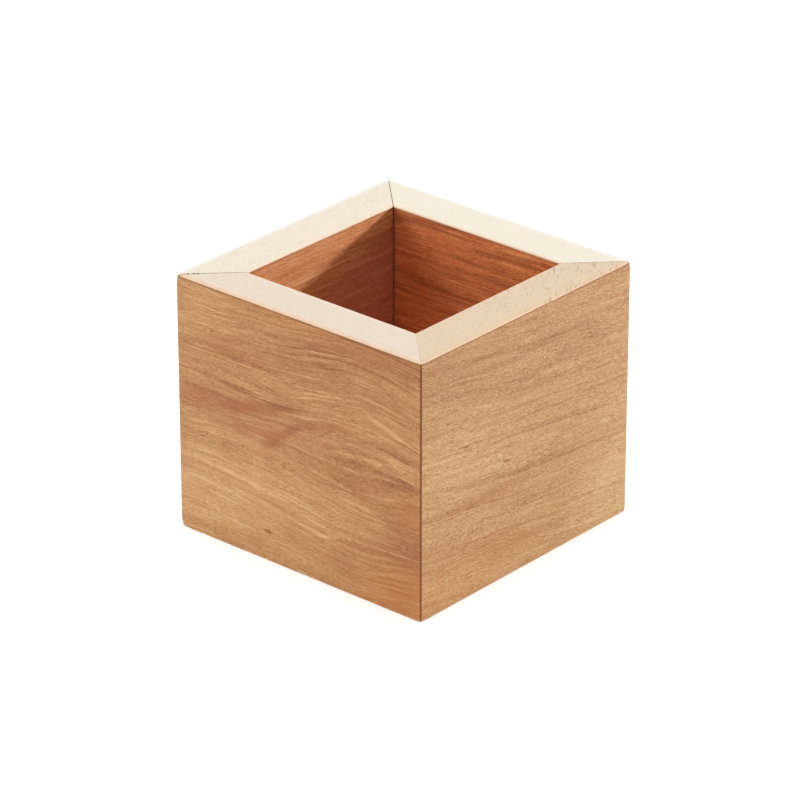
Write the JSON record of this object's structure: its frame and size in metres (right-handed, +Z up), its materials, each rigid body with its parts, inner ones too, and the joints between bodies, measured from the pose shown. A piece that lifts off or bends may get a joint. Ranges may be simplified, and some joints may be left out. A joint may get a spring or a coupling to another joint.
{
  "type": "furniture riser",
  "caption": "Square mitred hardwood box, open at the top, with a raised inner floor: a furniture leg stands in its socket and is lifted off the ground.",
  "frame": {"origin": "on the ground, under the middle of the box", "axes": "+Z up, out of the socket's mouth; -Y out of the front board, +X out of the right board"},
  "size_m": [0.115, 0.115, 0.1],
  "materials": {
    "oiled_beech": "oiled beech, low gloss, paler on the sanded rim",
    "floor_beech": "oiled beech, matt",
    "cleat_beech": "planed beech, unfinished",
    "tongue_ply": "birch plywood, unfinished"
  },
  "bodies": {
    "root": {"front_board": "oiled_beech", "right_board": "oiled_beech", "back_board": "oiled_beech", "left_board": "oiled_beech", "floor_board": "floor_beech", "front_cleat": "cleat_beech", "right_cleat": "cleat_beech", "back_cleat": "cleat_beech", "left_cleat": "cleat_beech", "front_right_tongue": "tongue_ply", "back_right_tongue": "tongue_ply", "back_left_tongue": "tongue_ply", "front_left_tongue": "tongue_ply"}
  },
  "joints": []
}
